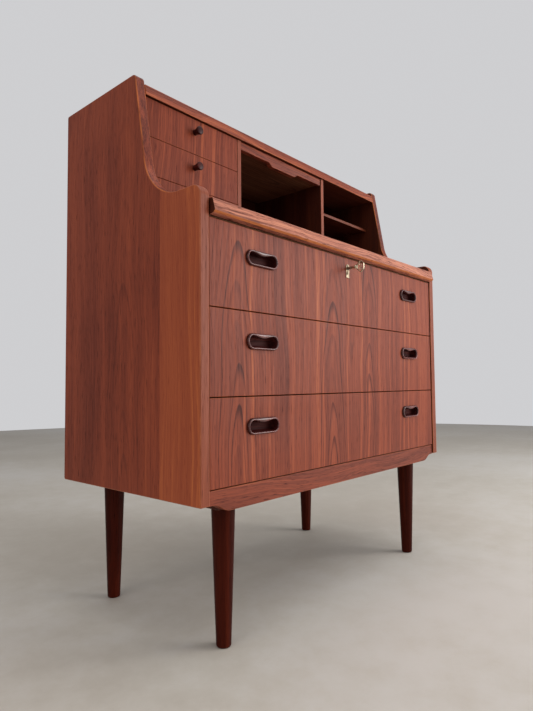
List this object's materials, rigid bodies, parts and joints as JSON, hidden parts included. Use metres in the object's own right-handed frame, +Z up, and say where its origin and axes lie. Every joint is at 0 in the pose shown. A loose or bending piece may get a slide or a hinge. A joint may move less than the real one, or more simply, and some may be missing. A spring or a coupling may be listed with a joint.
{
  "type": "secretary desk",
  "caption": "Teak secretary desk on turned legs: wide drawers with cup handles, a pull-out writing leaf, and a stepped-back top with small drawers and open compartments.",
  "frame": {"origin": "on the floor, at the centre of the overall box seen from above, key included", "axes": "+Z up, the drawer fronts face -Y, +X to the right of someone facing the desk"},
  "size_m": [0.922, 0.492, 1.09],
  "materials": {
    "teak": "oiled teak veneer, satin",
    "teak_edge": "solid oiled teak, open grain, satin",
    "rosewood": "dark turned hardwood, satin",
    "leg_wood": "stained hardwood, satin lacquer",
    "drawer_wood": "plain pale hardwood and plywood, matt",
    "brass": "pale worn brass",
    "steel": "plain steel"
  },
  "bodies": {
    "case": {"side_panel_left": "teak", "side_panel_right": "teak", "bottom_board": "teak", "upper_deck": "teak", "back_panel": "drawer_wood", "top_board": "teak_edge", "apron_rail": "teak", "dust_board": "drawer_wood", "leg_front_left": "leg_wood", "leg_rear_left": "leg_wood", "leg_rail_left": "drawer_wood", "leg_front_right": "leg_wood", "leg_rear_right": "leg_wood", "leg_rail_right": "drawer_wood", "partition_left": "teak", "partition_right": "teak", "pigeonhole_shelf": "teak", "divider_1": "drawer_wood", "divider_2": "drawer_wood", "tray_runner_left": "drawer_wood", "tray_runner_right": "drawer_wood", "lower_runner_left": "drawer_wood", "lower_runner_right": "drawer_wood", "middle_runner_left": "drawer_wood", "middle_runner_right": "drawer_wood", "upper_runner_left": "drawer_wood", "upper_runner_right": "drawer_wood"},
    "writing_leaf": {"writing_leaf": "teak", "leaf_moulding": "teak_edge"},
    "upper_drawer": {"upper_drawer_front": "teak", "upper_drawer_box": "drawer_wood", "upper_drawer_bottom": "drawer_wood", "upper_handle_left": "rosewood", "upper_handle_right": "rosewood", "key_plate": "brass", "lock_case": "steel"},
    "middle_drawer": {"middle_drawer_front": "teak", "middle_drawer_box": "drawer_wood", "middle_drawer_bottom": "drawer_wood", "middle_handle_left": "rosewood", "middle_handle_right": "rosewood"},
    "lower_drawer": {"lower_drawer_front": "teak", "lower_drawer_box": "drawer_wood", "lower_drawer_bottom": "drawer_wood", "lower_handle_left": "rosewood", "lower_handle_right": "rosewood"},
    "small_drawer_top": {"small_front_top": "teak", "small_box_top": "drawer_wood", "knob_top": "rosewood"},
    "small_drawer_middle": {"small_front_middle": "teak", "small_box_middle": "drawer_wood", "knob_middle": "rosewood"},
    "small_drawer_bottom": {"small_front_bottom": "teak", "small_box_bottom": "drawer_wood", "knob_bottom": "rosewood"},
    "tray_drawer": {"tray_front": "teak", "tray_box": "drawer_wood"},
    "key": {"key": "brass"},
    "lock_bolt": {"lock_bolt": "steel"}
  },
  "joints": [
    {"name": "writing_leaf_slide", "type": "slide", "parent": "case", "child": "writing_leaf", "axis": [0, -1, 0], "range_m": [0, 0.2]},
    {"name": "upper_drawer_slide", "type": "slide", "parent": "case", "child": "upper_drawer", "axis": [0, -1, 0], "range_m": [0, 0.32]},
    {"name": "middle_drawer_slide", "type": "slide", "parent": "case", "child": "middle_drawer", "axis": [0, -1, 0], "range_m": [0, 0.32]},
    {"name": "lower_drawer_slide", "type": "slide", "parent": "case", "child": "lower_drawer", "axis": [0, -1, 0], "range_m": [0, 0.32]},
    {"name": "small_drawer_top_slide", "type": "slide", "parent": "case", "child": "small_drawer_top", "axis": [0, -1, 0], "range_m": [0, 0.17]},
    {"name": "small_drawer_middle_slide", "type": "slide", "parent": "case", "child": "small_drawer_middle", "axis": [0, -1, 0], "range_m": [0, 0.17]},
    {"name": "small_drawer_bottom_slide", "type": "slide", "parent": "case", "child": "small_drawer_bottom", "axis": [0, -1, 0], "range_m": [0, 0.17]},
    {"name": "tray_slide", "type": "slide", "parent": "case", "child": "tray_drawer", "axis": [0, -1, 0], "range_m": [0, 0.16]},
    {"name": "key_turn", "type": "hinge", "parent": "upper_drawer", "child": "key", "pos_m": [0, -0.201, 0.7465], "axis": [0, -1, 0], "range_deg": [0, 90]},
    {"name": "bolt_slide", "type": "slide", "parent": "upper_drawer", "child": "lock_bolt", "axis": [0, 0, 1], "range_m": [0, 0.01]}
  ],
  "couplings": [
    {"joint": "key_turn", "follows": "bolt_slide", "rad_per_m": 157.08}
  ]
}
